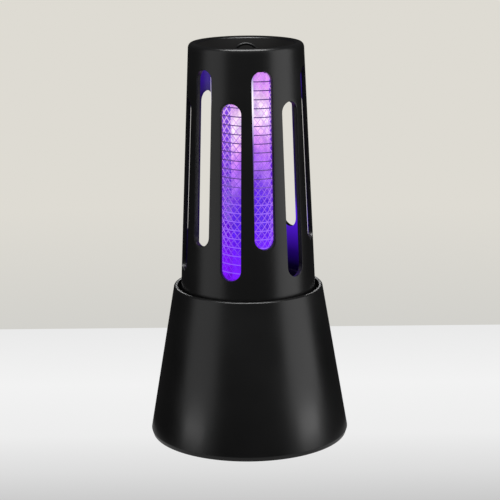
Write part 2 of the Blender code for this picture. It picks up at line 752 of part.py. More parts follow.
# ---- Shroud, cap and hanging loop ----
def make_seal_ring(parts):
    low, high = DECK_Z[1] + 0.0002, SHROUD_BOTTOM_Z - 0.0002
    turned_ring("seal_ring", SPIGOT_R + GAP, SPIGOT_R + SEAL_WIDTH, low, high, "rubber", parts, 32)


def make_shroud(parts, cutters):
    outer = [(RIM_INNER_R, DISH_EDGE_Z)]
    outer += arc((SHROUD_TOP_R - RIM_R, HEIGHT - RIM_R), RIM_R, 90, 2.5, 3)
    outer += [(shroud_radius(SHROUD_BOTTOM_Z), SHROUD_BOTTOM_Z)]
    inner = [
        (shroud_radius(SHROUD_BOTTOM_Z) - SHROUD_WALL, SHROUD_BOTTOM_Z),
        (shroud_radius(LIP_Z) - SHROUD_WALL, LIP_Z),
        (RIM_INNER_R, LIP_Z),
    ]
    shroud = turned("shroud", outer + inner, "black_plastic", parts, steps=48, closed=True)
    end_r = SLOT_WIDTH / 2 - 0.00001
    depth = 0.016
    for i in range(SLOT_COUNT):
        azimuth = SLOT_FIRST_DEG + 360.0 / SLOT_COUNT * i
        low, high = LOW_SLOT_Z if i % 2 == 0 else HIGH_SLOT_Z
        outline = rounded_outline(SLOT_WIDTH, high - low, end_r, 4)
        place = at_azimuth(shroud_radius((low + high) / 2), azimuth, (low + high) / 2)
        cut(shroud, prism_along_y(f"slot_cutter_{i + 1}", outline, place, depth, None, cutters, azimuth))


def make_top_cap(parts, cutters):
    flange_z = LIP_Z - GAP
    dish = []
    steps = 4
    for i in range(steps + 1):
        share = i / steps
        r = DISH_BOTTOM_R + (DISH_EDGE_R - DISH_BOTTOM_R) * share
        dish.append((r, DISH_BOTTOM_Z + (DISH_EDGE_Z - DISH_BOTTOM_Z) * share**1.6))
    well = [(0, WELL_Z), (WELL_R, WELL_Z), (WELL_R, DISH_BOTTOM_Z - WELL_EDGE_DROP)]
    side = [(DISH_EDGE_R, flange_z), (CAP_FLANGE_R, flange_z), (CAP_FLANGE_R, flange_z - CAP_WALL)]
    under = [
        (DISH_EDGE_R - 0.004, flange_z - CAP_WALL),
        (WELL_R + CAP_WALL, DISH_BOTTOM_Z - CAP_WALL - WELL_EDGE_DROP),
        (WELL_R + CAP_WALL, WELL_Z - CAP_WALL),
        (0, WELL_Z - CAP_WALL),
    ]
    cap = turned("top_cap", well + dish + side + under, "black_plastic", parts, steps=36)
    for i, side_x in enumerate((1, -1)):
        x = sorted((side_x * LUG_X[0], side_x * LUG_X[1]))
        low, high = (x[0], -LUG_HALF_Y, WELL_Z - 0.0004), (x[1], LUG_HALF_Y, LUG_TOP_Z)
        join(cap, box(f"lug_{i + 1}", low, high, None, cutters))
        start, end = (side_x * (LUG_X[0] - 0.001), 0, LOOP_Z), (side_x * (LUG_X[1] + 0.0004), 0, LOOP_Z)
        cut(cap, cylinder(f"lug_bore_{i + 1}", PIN_HOLE_R, start, end, None, cutters, 12))


def make_hang_loop(parts, cutters):
    """A half hoop with an eye at each end, with its origin on its hinge axis."""
    points = [Vector((x, 0, z)) for x, z in arc((0, 0), LOOP_R, 0, 180, 20)]
    hoop = wire("hoop", points, LOOP_WIRE_R, None, cutters, resolution=1)
    loop = add_object("hang_loop", mesh_from_curve(hoop, "hang_loop"), "black_plastic", parts)
    loop.location = (0, 0, LOOP_Z)
    for i, side_x in enumerate((1, -1)):
        start = (side_x * LOOP_R - EYE_WIDTH / 2, 0, LOOP_Z)
        end = (side_x * LOOP_R + EYE_WIDTH / 2, 0, LOOP_Z)
        join(loop, cylinder(f"eye_{i + 1}", EYE_R, start, end, None, cutters, 16))
    for i, side_x in enumerate((1, -1)):
        start = (side_x * (LOOP_R - EYE_WIDTH), 0, LOOP_Z)
        end = (side_x * (LOOP_R + EYE_WIDTH), 0, LOOP_Z)
        cut(loop, cylinder(f"eye_bore_{i + 1}", PIN_HOLE_R, start, end, None, cutters, 12))


def make_loop_pins(parts):
    for i, side_x in enumerate((1, -1)):
        start = (side_x * (LOOP_R - 0.0010), 0, LOOP_Z)
        end = (side_x * (LUG_X[1] - 0.0002), 0, LOOP_Z)
        cylinder(f"loop_pin_{i + 1}", PIN_R, start, end, "steel", parts, 10)


def parent_to_axes(parts):
    """Empties on the joints' axes carry the pieces that move."""
    lifted = ("shroud", "top_cap", "seal_ring", "loop_pin_1", "loop_pin_2")
    pressed = ("power_button", "switch_plunger")
    helpers = {
        "shroud_axis": ((0, 0, SHROUD_BOTTOM_Z), lifted),
        "button_axis": ((0, BUTTON_FACE_Y, BUTTON_Z), pressed),
    }
    for name, (place, children) in helpers.items():
        axis = bpy.data.objects.new(name, None)
        axis.location = place
        axis.empty_display_size = 0.01
        parts.objects.link(axis)
        for child in children:
            obj = bpy.data.objects[child]
            obj.parent = axis
            obj.matrix_parent_inverse = Matrix.Translation(-Vector(place))


def main():
    clear_scene()
    parts = new_collection("bug_zapper")
    cutters = new_collection("cutters")
    make_base_shell(parts, cutters)
    make_bottom_cover(parts, cutters)
    make_feet(parts)
    make_cover_screws(parts)
    make_base_deck(parts, cutters)
    make_deck_screws(parts)
    make_battery_holder(parts, cutters)
    make_cell(parts)
    make_main_board(parts, cutters)
    make_board_parts(parts, cutters)
    make_usb_port(parts, cutters)
    make_switch(parts, cutters)
    make_button(parts)
    make_charge_light(parts)
    make_leads(parts)
    make_grid_holders(parts, cutters)
    make_posts(parts)
    make_outer_grid(parts)
    make_inner_grid(parts)
    make_lamp(parts)
    make_seal_ring(parts)
    make_shroud(parts, cutters)
    make_top_cap(parts, cutters)
    make_hang_loop(parts, cutters)
    make_loop_pins(parts)
    parent_to_axes(parts)


main()
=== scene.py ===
"""Looks of the electric bug zapper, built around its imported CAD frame. Metres, +Z up, front towards -Y.

Azimuths are measured from the front (-Y) towards +X.
"""

import json
import math

import bmesh
import bpy
from mathutils import Matrix, Vector


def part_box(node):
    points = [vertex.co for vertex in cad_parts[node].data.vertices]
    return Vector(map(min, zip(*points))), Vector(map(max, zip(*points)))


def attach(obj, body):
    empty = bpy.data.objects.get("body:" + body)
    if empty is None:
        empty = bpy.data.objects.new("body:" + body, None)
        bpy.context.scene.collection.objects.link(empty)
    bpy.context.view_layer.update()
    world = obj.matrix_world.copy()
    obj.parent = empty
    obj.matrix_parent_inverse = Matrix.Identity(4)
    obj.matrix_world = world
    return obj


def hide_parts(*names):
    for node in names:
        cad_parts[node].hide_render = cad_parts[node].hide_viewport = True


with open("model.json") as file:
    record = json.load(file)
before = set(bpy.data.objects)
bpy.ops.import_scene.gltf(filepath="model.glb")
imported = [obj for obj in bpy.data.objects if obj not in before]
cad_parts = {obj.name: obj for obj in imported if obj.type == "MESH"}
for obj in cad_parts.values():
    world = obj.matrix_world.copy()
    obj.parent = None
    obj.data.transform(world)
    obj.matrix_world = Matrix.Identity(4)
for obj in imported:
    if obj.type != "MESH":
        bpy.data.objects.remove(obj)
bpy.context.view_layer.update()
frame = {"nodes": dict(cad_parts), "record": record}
MM = 0.001

# ---- Driving dimensions, from the frame where it holds them ----
BASE_LOW, BASE_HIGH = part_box("base_shell")
SHROUD_LOW, SHROUD_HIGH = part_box("shroud")
CAP_LOW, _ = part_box("top_cap")
LAMP_LOW, LAMP_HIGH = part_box("lamp_tube")
GRID_LOW, GRID_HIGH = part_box("outer_grid")
LATTICE_LOW, LATTICE_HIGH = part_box("inner_grid")

BASE_R = 45.0 * MM
BASE_TOP_R = 33.2 * MM
BASE_WALL = 2.2 * MM
BASE_BEVEL_Z = 2.6 * MM
BASE_BEVEL_DEPTH = 1.0 * MM
COLLAR_R = 31.5 * MM
COLLAR_DEPTH = 4.0 * MM
SHROUD_LOW_R = 30.0 * MM
SHROUD_TOP_R = 25.2 * MM
SHROUD_WALL = 1.9 * MM
RIM_R = 2.0 * MM
RIM_INNER_R = 21.5 * MM
DISH_EDGE_Z = 176.6 * MM
DISH_BOTTOM_Z = 172.6 * MM
WELL_R = 10.0 * MM
WELL_Z = 169.5 * MM
CAP_GAP = 0.15 * MM  # between the cap's edge and the rim
LUG_SIZE = (2.0 * MM, 3.2 * MM)  # each of the two lugs that hold the loop's pins
LUG_X = 8.0 * MM
LUG_ABOVE_PIVOT = 1.4 * MM
LUG_ROOT = 0.3 * MM  # how far a lug is sunk into the well's floor
LOOP_R = 5.8 * MM
LOOP_WIRE_R = 0.65 * MM
LOOP_EYE_R = 1.3 * MM
PIN_HOLE_R = 0.6 * MM

BUTTON_HOLE_R = 5.3 * MM
PIPE_HOLE_R = 1.5 * MM
INLET_SIZE = (10.4 * MM, 4.6 * MM)
CUT_LENGTH = 12.0 * MM  # reaches through the base's wall from the pieces behind it
BUTTON_FLANGE = 1.0 * MM
BUTTON_FLANGE_DEPTH = 1.4 * MM

SLOT_COUNT = 12
SLOT_WIDTH = 9.2 * MM
SLOT_FIRST_DEG = -15.0
LOW_SLOT_Z = (77.4 * MM, 154.0 * MM)
HIGH_SLOT_Z = (91.0 * MM, 167.75 * MM)
SLOT_ZONE_Z = (73.6 * MM, 171.4 * MM)

COIL_R = 15.0 * MM
COIL_WIRE_R = 0.23 * MM
COIL_PITCH = 3.87 * MM
COIL_PHASE_Z = 142.4 * MM  # a turn passes this height at an azimuth of 30 degrees
NET_R = 13.1 * MM
NET_WIRE_R = 0.2 * MM
NET_LAYER = 0.15 * MM  # the wires of each direction lie this much outside or inside NET_R
NET_STARTS = 26
NET_CELL_HEIGHT = 3.87 * MM
POSTS = (1, 2, 3)
POST_R = 0.5 * MM
POST_HOLE_R = 0.6 * MM
TUBE_WALL = 1.2 * MM
DECK_TOP_Z = 64.6 * MM
DECK_HOLE_R = 8.0 * MM
SPIGOT_R = 27.3 * MM
SPIGOT_WALL = 1.4 * MM
SEAL_INNER_R = 27.6 * MM
GLOW_LINE_X = 4.0 * MM  # the lamp's bright part starts highest along this line

LENS_MM = 126.6
CAMERA_PLACE = (0, -0.7633, 0.2685)
CAMERA_PAN_DEG = -0.07
CAMERA_DOWN_DEG = 13.56
CAMERA_ROLL_DEG = -0.529
FLOOR_HALF = 0.169  # puts the floor's far edge at the horizon
SHARP_DEG = 38  # edges sharper than this are shaded as edges
WIRE_ROUGHNESS = 0.32
CASE_BLACK = (0.0065, 0.0065, 0.0067)
CASE_ROUGHNESS = 0.31


# ---- Mesh helpers ----
def at_azimuth(radius, azimuth_deg, z):
    angle = math.radians(azimuth_deg)
    return Vector((radius * math.sin(angle), -radius * math.cos(angle), z))


def centre_of(node):
    low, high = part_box(node)
    return (low + high) / 2


def filleted(corners, steps=5):
    """A closed outline of (r, z, fillet) corners, with an arc of that radius at each."""
    points = []
    count = len(corners)
    for i, (r, z, fillet) in enumerate(corners):
        here = Vector((r, z))
        if fillet <= 0:
            points.append((r, z))
            continue
        before = (Vector(corners[i - 1][:2]) - here).normalized()
        after = (Vector(corners[(i + 1) % count][:2]) - here).normalized()
        half = before.angle(after) / 2
        centre = here + (before + after).normalized() * (fillet / math.sin(half))
        start = here + before * (fillet / math.tan(half)) - centre
        end = here + after * (fillet / math.tan(half)) - centre
        for j in range(steps + 1):
            share = j / steps
            turned = (start * (1 - share) + end * share).normalized() * fillet
            points.append(tuple(centre + turned))
    return points


def lathe(name, outline, steps):
    """A closed outline of (r, z), turned about Z. Points on the axis share one vertex."""
    bm = bmesh.new()
    rings = []
    for r, z in outline:
        if r < 1e-7:
            rings.append([bm.verts.new((0, 0, z))] * steps)
            continue
        rings.append([bm.verts.new(at_azimuth(r, 360.0 * i / steps, z)) for i in range(steps)])
    for a, b in zip(rings, rings[1:] + rings[:1]):
        for i in range(steps):
            j = (i + 1) % steps
            corners = list(dict.fromkeys((a[i], a[j], b[j], b[i])))
            if len(corners) > 2:
                bm.faces.new(corners)
    return object_from(name, bm)


def skin(bm, rings):
    """Quads between rings of vertices."""
    for a, b in zip(rings, rings[1:]):
        for i in range(len(a)):
            j = (i + 1) % len(a)
            bm.faces.new((a[i], a[j], b[j], b[i]))


def object_from(name, bm):
    bmesh.ops.recalc_face_normals(bm, faces=bm.faces)
    mesh = bpy.data.meshes.new(name)
    bm.to_mesh(mesh)
    bm.free()
    mesh.shade_smooth()
    mesh.set_sharp_from_angle(angle=math.radians(SHARP_DEG))
    obj = bpy.data.objects.new(name, mesh)
    bpy.context.scene.collection.objects.link(obj)
    return obj


def apply_modifiers(obj, sharp_deg=SHARP_DEG):
    """Applies the object's modifiers."""
    evaluated = obj.evaluated_get(bpy.context.evaluated_depsgraph_get())
    mesh = bpy.data.meshes.new_from_object(evaluated)
    obj.modifiers.clear()
    obj.data = mesh
    mesh.shade_smooth()
    mesh.set_sharp_from_angle(angle=math.radians(sharp_deg))


def cut(obj, cutters):
    for cutter in cutters:
        modifier = obj.modifiers.new("cut", "BOOLEAN")
        modifier.object = cutter
        modifier.operation = "DIFFERENCE"
        modifier.solver = "EXACT"
    bpy.context.view_layer.update()
    apply_modifiers(obj)
    for cutter in cutters:
        bpy.data.objects.remove(cutter, do_unlink=True)


def tube_along(name, paths, radius, sides):
    """Round wires along several paths around the axis, in one mesh, with closed ends."""
    bm = bmesh.new()
    for path in paths:
        rings = []
        for i, point in enumerate(path):
            tangent = (path[min(i + 1, len(path) - 1)] - path[max(i - 1, 0)]).normalized()
            side = tangent.cross(Vector((point.x, point.y, 0))).normalized()
            out = side.cross(tangent)
            ring = []
            for k in range(sides):
                angle = 2 * math.pi * k / sides
                ring.append(bm.verts.new(point + radius * (math.cos(angle) * out + math.sin(angle) * side)))
            rings.append(ring)
        skin(bm, rings)
        bm.faces.new(rings[0][::-1])
        bm.faces.new(rings[-1])
    return object_from(name, bm)


# ---- Materials ----
def node_material(name):
    material = bpy.data.materials.new(name)
    material.use_nodes = True
    tree = material.node_tree
    shader = tree.nodes["Principled BSDF"]
    return material, tree, shader


def place_axes(tree, space="Object"):
    """The X, Y and Z sockets of a place, by default in the object's own space."""
    coords = tree.nodes.new("ShaderNodeTexCoord")
    split = tree.nodes.new("ShaderNodeSeparateXYZ")
    tree.links.new(coords.outputs[space], split.inputs["Vector"])
    return split.outputs


def noise(tree, scale, detail, stretch=None):
    coords = tree.nodes.new("ShaderNodeTexCoord")
    texture = tree.nodes.new("ShaderNodeTexNoise")
    texture.inputs["Scale"].default_value = scale
    texture.inputs["Detail"].default_value = detail
    source = coords.outputs["Object"]
    if stretch:
        mapping = tree.nodes.new("ShaderNodeMapping")
        mapping.inputs["Scale"].default_value = stretch
        tree.links.new(source, mapping.inputs["Vector"])
        source = mapping.outputs["Vector"]
    tree.links.new(source, texture.inputs["Vector"])
    return texture


def ramp(tree, source, stops):
    node = tree.nodes.new("ShaderNodeValToRGB")
    elements = node.color_ramp.elements
    while len(elements) < len(stops):
        elements.new(0.5)
    for element, (place, colour) in zip(elements, stops):
        element.position = place
        element.color = (*colour, 1.0)
    tree.links.new(source, node.inputs["Fac"])
    return node.outputs["Color"]


def mapped(tree, source, start, end, low=0.0, high=1.0):
    """The source's stretch from start to end, turned into low to high and held level past it."""
    node = tree.nodes.new("ShaderNodeMapRange")
    node.inputs["From Min"].default_value = start
    node.inputs["From Max"].default_value = end
    node.inputs["To Min"].default_value = low
    node.inputs["To Max"].default_value = high
    tree.links.new(source, node.inputs["Value"])
    return node.outputs["Result"]


def spread(tree, source, low, high):
    """A noise's middle stretch, turned into low to high."""
    return mapped(tree, source, 0.3, 0.7, low, high)


def vector_maths(tree, operation, first):
    node = tree.nodes.new("ShaderNodeVectorMath")
    node.operation = operation
    tree.links.new(first, node.inputs[0])
    return node


def scaled(tree, colour, factor):
    node = vector_maths(tree, "SCALE", colour)
    tree.links.new(factor, node.inputs["Scale"])
    return node.outputs["Vector"]


def mixed(tree, share, first, second):
    mix = tree.nodes.new("ShaderNodeMix")
    mix.data_type = "RGBA"
    tree.links.new(share, mix.inputs["Factor"])
    tree.links.new(first, mix.inputs["A"])
    tree.links.new(second, mix.inputs["B"])
    return mix.outputs["Result"]


def emit(tree, colour, strength):
    shader = tree.nodes["Principled BSDF"]
    tree.links.new(colour, shader.inputs["Emission Color"])
    shader.inputs["Emission Strength"].default_value = strength


def plastic(name, colour, roughness, grain=2600.0, bump=0.05, vary=0.25):
    """Moulded plastic: a fine spark texture, with slight changes of shade and gloss."""
    material, tree, shader = node_material(name)
    broad = noise(tree, 35.0, 4.0)
    dark = tuple(c * (1 - vary) for c in colour)
    light = tuple(c * (1 + vary) for c in colour)
    shade = ramp(tree, broad.outputs["Fac"], ((0.3, dark), (0.7, light)))
    tree.links.new(shade, shader.inputs["Base Color"])
    gloss = spread(tree, broad.outputs["Fac"], roughness - 0.03, roughness + 0.03)
    tree.links.new(gloss, shader.inputs["Roughness"])
    fine = noise(tree, grain, 2.0)
    height = tree.nodes.new("ShaderNodeBump")
    height.inputs["Strength"].default_value = bump
    height.inputs["Distance"].default_value = 0.05 * MM
    tree.links.new(fine.outputs["Fac"], height.inputs["Height"])
    tree.links.new(height.outputs["Normal"], shader.inputs["Normal"])
    return material


def metal(name, colour, roughness):
    """Drawn or rolled metal, with fine streaks in its roughness."""
    material, tree, shader = node_material(name)
    shader.inputs["Metallic"].default_value = 1.0
    streaks = noise(tree, 900.0, 2.0, stretch=(1, 1, 0.15))
    dark = tuple(c * 0.85 for c in colour)
    shade = ramp(tree, streaks.outputs["Fac"], ((0.35, dark), (0.65, colour)))
    tree.links.new(shade, shader.inputs["Base Color"])
    gloss = spread(tree, streaks.outputs["Fac"], roughness - 0.06, roughness + 0.06)
    tree.links.new(gloss, shader.inputs["Roughness"])
    return material


def maths(tree, operation, first, second=None):
    """A Math node of one socket, or of a socket with a number or another socket."""
    node = tree.nodes.new("ShaderNodeMath")
    node.operation = operation
    tree.links.new(first, node.inputs[0])
    if isinstance(second, (int, float)):
        node.inputs[1].default_value = second
    elif second:
        tree.links.new(second, node.inputs[1])
    return node.outputs["Value"]


def height_ramp(tree, low, high, stops, sag=0.0):
    """A colour ramp over the height between low and high, in metres.

    With sag, its colours hang lower by that much per metre to either side of GLOW_LINE_X.
    """
    place = place_axes(tree)
    height = place["Z"]
    if sag:
        aside = maths(tree, "ABSOLUTE", maths(tree, "SUBTRACT", place["X"], GLOW_LINE_X))
        height = maths(tree, "ADD", height, maths(tree, "MULTIPLY", aside, sag))
    return ramp(tree, mapped(tree, height, low, high), stops)


def lamp_ramp(tree, stops, sag=0.0):
    """A colour ramp over the lamp's length."""
    return height_ramp(tree, LAMP_LOW.z, LAMP_HIGH.z, stops, sag)


def mottled(tree, colour, mottle):
    """A colour in uneven patches, brighter and darker by up to mottle."""
    patches = noise(tree, 300.0, 4.0, stretch=(1, 1, 0.7))
    return scaled(tree, colour, spread(tree, patches.outputs["Fac"], 1 - mottle, 1 + mottle))


def lamp_material():
    """The lit tube: white and pink above, fading to deep violet at its foot."""
    material, tree, shader = node_material("lamp_glow")
    shader.inputs["Base Color"].default_value = (0.3, 0.2, 0.5, 1)
    shader.inputs["Roughness"].default_value = 0.35
    stops = (
        (0.00, (0.08, 0.012, 0.50)),
        (0.14, (0.07, 0.010, 0.46)),
        (0.30, (0.01, 0.006, 0.32)),
        (0.43, (0.01, 0.008, 0.30)),
        (0.49, (0.10, 0.04, 0.32)),
        (0.55, (0.36, 0.17, 0.46)),
        (0.63, (0.48, 0.19, 0.52)),
        (0.69, (0.76, 0.34, 0.54)),
        (0.75, (1.00, 0.66, 0.56)),
        (0.82, (1.00, 0.92, 0.56)),
        (0.88, (1.00, 0.84, 0.52)),
        (0.94, (0.80, 0.42, 0.48)),
        (1.00, (0.78, 0.34, 0.52)),
    )
    emit(tree, mottled(tree, lamp_ramp(tree, stops, sag=1.1), 0.42), 2.2)
    return material


def sleeve_material():
    """The tinted sleeve around the lamp, glowing violet and letting the lamp show through."""
    material, tree, shader = node_material("sleeve_glow")
    stops = (
        (0.00, (0.22, 0.006, 0.98)),
        (0.14, (0.16, 0.003, 0.80)),
        (0.28, (0.09, 0.002, 0.56)),
        (0.50, (0.10, 0.003, 0.56)),
        (1.00, (0.15, 0.008, 0.62)),
    )
    emit(tree, mottled(tree, lamp_ramp(tree, stops), 0.3), 1.0)
    shader.inputs["Base Color"].default_value = (0.03, 0.01, 0.1, 1)
    shader.inputs["Roughness"].default_value = 0.25
    shader.inputs["Alpha"].default_value = 0.42
    return material


def coil_material():
    """Dark coil wire with painted lamp light: violet emission low down, and only a dim glow where the lamp
    behind it is brightest.
    """
    material = metal("coil_wire_painted_lamp_light", (0.13, 0.11, 0.17), WIRE_ROUGHNESS)
    tree = material.node_tree
    stops = (
        (0.00, (0.26, 0.08, 0.90)),
        (0.38, (0.30, 0.12, 0.90)),
        (0.50, (0.10, 0.04, 0.25)),
        (1.00, (0.06, 0.02, 0.14)),
    )
    emit(tree, lamp_ramp(tree, stops), 1.0)
    return material


def facing_lamp(tree, turned_away, turned_to):
    """0 to 1 as a face turns towards the axis: the two ends are cosines from straight outwards."""
    coords = tree.nodes.new("ShaderNodeTexCoord")
    flat = vector_maths(tree, "MULTIPLY", coords.outputs["Object"])
    flat.inputs[1].default_value = (1, 1, 0)
    outward = vector_maths(tree, "NORMALIZE", flat.outputs["Vector"])
    cosine = vector_maths(tree, "DOT_PRODUCT", outward.outputs["Vector"])
    tree.links.new(coords.outputs["Normal"], cosine.inputs[1])
    return mapped(tree, cosine.outputs["Value"], turned_away, turned_to)


def painted_lamp_light_plastic(name, colour, roughness):
    """Black plastic with the lamp's violet light painted on as emission, on faces towards the lamp, more of
    it low on the right.
    """
    material = plastic(name, colour, roughness)
    tree = material.node_tree
    black = (0.0, 0.0, 0.0)
    upper_stops = (
        (0.76, (0.005, 0.0004, 0.040)),
        (0.83, (0.020, 0.0020, 0.19)),
        (0.90, (0.022, 0.0022, 0.20)),
        (0.935, (0.015, 0.0015, 0.16)),
        (0.955, black),
    )
    left_stops = (
        (0.00, black),
        (0.12, (0.001, 0.0002, 0.008)),
        (0.30, (0.004, 0.0003, 0.030)),
        *upper_stops,
    )
    # Painted lamp light by height; on the right, the bright band from 0.18 to 0.29 is a painted reflection
    # of the lamp.
    right_stops = (
        (0.00, black),
        (0.06, (0.001, 0.0002, 0.008)),
        (0.12, (0.010, 0.0012, 0.10)),
        (0.18, (0.040, 0.0050, 0.33)),
        (0.25, (0.080, 0.0100, 0.62)),
        (0.29, (0.110, 0.0200, 0.75)),
        (0.36, (0.016, 0.0016, 0.16)),
        (0.50, (0.008, 0.0007, 0.060)),
        *upper_stops,
    )
    left = height_ramp(tree, SHROUD_LOW.z, SHROUD_HIGH.z, left_stops)
    right = height_ramp(tree, SHROUD_LOW.z, SHROUD_HIGH.z, right_stops)
    side = mapped(tree, place_axes(tree)["X"], -5 * MM, 5 * MM)
    light = scaled(tree, mixed(tree, side, left, right), facing_lamp(tree, -0.6, -0.95))
    emit(tree, light, 1.0)
    return material


def net_material():
    """Net wire with the lamp's light painted on as emission, brighter on the side that the lamp shines on.
    """
    material = metal("net_wire_painted_lamp_light", (0.12, 0.10, 0.16), WIRE_ROUGHNESS)
    tree = material.node_tree
    away = (
        (0.00, (0.15, 0.004, 0.85)),
        (0.20, (0.09, 0.004, 0.66)),
        (0.42, (0.06, 0.004, 0.52)),
        (0.52, (0.14, 0.04, 0.58)),
        (0.68, (0.48, 0.20, 0.72)),
        (0.78, (0.80, 0.52, 0.76)),
        (0.88, (0.85, 0.60, 0.76)),
        (1.00, (0.56, 0.24, 0.70)),
    )
    lit = (
        (0.00, (0.18, 0.005, 0.88)),
        (0.12, (0.30, 0.06, 0.92)),
        (0.24, (0.62, 0.28, 1.00)),
        (0.50, (0.62, 0.28, 1.00)),
        (1.00, (0.56, 0.26, 0.95)),
    )
    # Painted light and shade: the lit colours on faces towards the lamp, the others on faces turned away.
    share = facing_lamp(tree, 0.92, 0.55)
    emit(tree, mixed(tree, share, lamp_ramp(tree, away), lamp_ramp(tree, lit)), 1.0)
    return material


def post_material():
    """Polished rod with a painted highlight: bright emission on its outer side in the lamp's white part,
    and painted shade, a dim violet glow, on the side to the lamp.
    """
    material = metal("post_wire_painted_highlight", (0.16, 0.14, 0.20), WIRE_ROUGHNESS)
    tree = material.node_tree
    outer = (
        (0.00, (0.03, 0.010, 0.12)),
        (0.50, (0.06, 0.02, 0.20)),
        (0.66, (0.14, 0.06, 0.36)),
        (0.76, (0.55, 0.45, 0.75)),
        (0.83, (1.00, 0.96, 1.00)),
        (0.91, (0.90, 0.85, 0.95)),
        (1.00, (0.20, 0.10, 0.45)),
    )
    inner = ((0.0, (0.03, 0.004, 0.2)), (1.0, (0.02, 0.003, 0.12)))
    share = facing_lamp(tree, 0.7, 0.3)
    emit(tree, mixed(tree, share, lamp_ramp(tree, outer), lamp_ramp(tree, inner)), 1.1)
    return material


def make_materials():
    cap = plastic("cap_black", (0.0055, 0.0052, 0.005), 0.6)
    cap.node_tree.nodes["Principled BSDF"].inputs["Specular IOR Level"].default_value = 0.15
    return {
        "case": plastic("case_black", CASE_BLACK, CASE_ROUGHNESS),
        "shroud": painted_lamp_light_plastic("shroud_black_painted_lamp_light", CASE_BLACK, CASE_ROUGHNESS),
        "cap": cap,
        "moulding": plastic("moulding_dark", (0.012, 0.012, 0.013), 0.5),
        "rubber": plastic("rubber_black", (0.012, 0.012, 0.012), 0.75, 1500.0, 0.15),
        "white": plastic("white_plastic_fine", (0.68, 0.68, 0.66), 0.42, 2000.0, 0.03, 0.05),
        "board": plastic("board_mask", (0.012, 0.10, 0.035), 0.4, 400.0, 0.05, 0.3),
        "wrap": plastic("cell_sleeve", (0.03, 0.13, 0.38), 0.35, 300.0, 0.03, 0.1),
        "yellow": plastic("component_film", (0.62, 0.42, 0.04), 0.4, 300.0, 0.03, 0.1),
        "red": plastic("lead_red", (0.40, 0.015, 0.015), 0.5, 900.0, 0.05, 0.15),
        "clear": plastic("pipe_clear", (0.75, 0.78, 0.80), 0.15, 600.0, 0.02, 0.05),
        "steel": metal("steel_plain", (0.55, 0.56, 0.58), WIRE_ROUGHNESS),
        "wire": coil_material(),
        "net": net_material(),
        "post": post_material(),
        "lamp": lamp_material(),
        "sleeve": sleeve_material(),
    }


def dress(obj, material, body, slot, *nodes):
    """Gives a piece its material and body, and puts it in place of CAD nodes; its slot is not used."""
    obj.data.materials.clear()
    obj.data.materials.append(material)
    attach(obj, body)
    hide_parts(*nodes)


# ---- Base ----
def base_radius(z):
    return BASE_R + (BASE_TOP_R - BASE_R) * z / BASE_HIGH.z


def rod_between(start, end, radius, steps):
    """A plain rod, used as a cutter or joined to another piece."""
    direction = end - start
    bm = bmesh.new()
    turned = direction.to_track_quat("Z", "Y").to_matrix().to_4x4()
    place = Matrix.Translation((start + end) / 2) @ turned
    bmesh.ops.create_cone(
        bm,
        cap_ends=True,
        segments=steps,
        radius1=radius,
        radius2=radius,
        depth=direction.length,
        matrix=place,
    )
    return object_from("rod", bm)


def slot_cutter(start, end, width, height, steps=16):
    """A round-ended bar along Y, wider than it is high."""
    half = (width - height) / 2
    bm = bmesh.new()
    outline = []
    for i in range(steps + 1):
        angle = -math.pi / 2 + math.pi * i / steps
        outline.append((half + height / 2 * math.cos(angle), height / 2 * math.sin(angle)))
    outline += [(-x, -z) for x, z in outline]
    rings = []
    for y in (start.y, end.y):
        rings.append([bm.verts.new((start.x + x, y, start.z + z)) for x, z in outline])
    skin(bm, rings)
    bm.faces.new(rings[0])
    bm.faces.new(rings[1])
    return object_from("cutter", bm)


def make_base(materials):
    collar_z = BASE_HIGH.z - COLLAR_DEPTH
    outline = filleted(
        (
            (COLLAR_R, BASE_HIGH.z, 0.5 * MM),
            (base_radius(BASE_HIGH.z), BASE_HIGH.z, 0.9 * MM),
            (base_radius(BASE_BEVEL_Z), BASE_BEVEL_Z, 0.25 * MM),
            (base_radius(BASE_LOW.z) - BASE_BEVEL_DEPTH, BASE_LOW.z, 0.2 * MM),
            (base_radius(BASE_LOW.z) - BASE_WALL, BASE_LOW.z, 0.2 * MM),
            (base_radius(collar_z) - BASE_WALL, collar_z, 0.2 * MM),
            (COLLAR_R, collar_z, 0.1 * MM),
        )
    )
    casing = lathe("base_casing", outline, 240)
    button = centre_of("power_button")
    _, pipe_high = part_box("charge_light_pipe")
    pipe = Vector((0, pipe_high.y, centre_of("charge_light_pipe").z))
    inlet = centre_of("usb_port")
    through = Vector((0, CUT_LENGTH, 0))
    cutters = [
        rod_between(button, button + through, BUTTON_HOLE_R, 64),
        rod_between(pipe - through / 3, pipe + through, PIPE_HOLE_R, 32),
        slot_cutter(inlet, inlet + through, *INLET_SIZE),
    ]
    cut(casing, cutters)
    dress(casing, materials["case"], "base", "black_plastic", "base_shell")


def make_button(materials):
    low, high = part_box("power_button")
    flange = (high.x - low.x) / 2
    radius = flange - BUTTON_FLANGE
    depth = high.y - low.y
    outline = filleted(
        (
            (0, depth - 0.5 * MM, 0),
            (radius - 1.6 * MM, depth - 0.3 * MM, 0.8 * MM),
            (radius - 0.5 * MM, depth, 0.3 * MM),
            (radius, depth - 0.5 * MM, 0.3 * MM),
            (radius, BUTTON_FLANGE_DEPTH, 0),
            (flange, BUTTON_FLANGE_DEPTH, 0),
            (flange, 0, 0),
            (0, 0, 0),
        )
    )
    button = lathe("button_cap", outline, 96)
    facing_back = Matrix.Rotation(math.radians(-90), 4, "X")
    button.data.transform(Matrix.Translation((0, low.y, centre_of("power_button").z)) @ facing_back)
    dress(button, materials["moulding"], "power_button", "dark_plastic", "power_button")


# ---- Shroud ----
def shroud_radius(z):
    share = (z - BASE_HIGH.z) / (SHROUD_HIGH.z - BASE_HIGH.z)
    return SHROUD_LOW_R + (SHROUD_TOP_R - SHROUD_LOW_R) * share


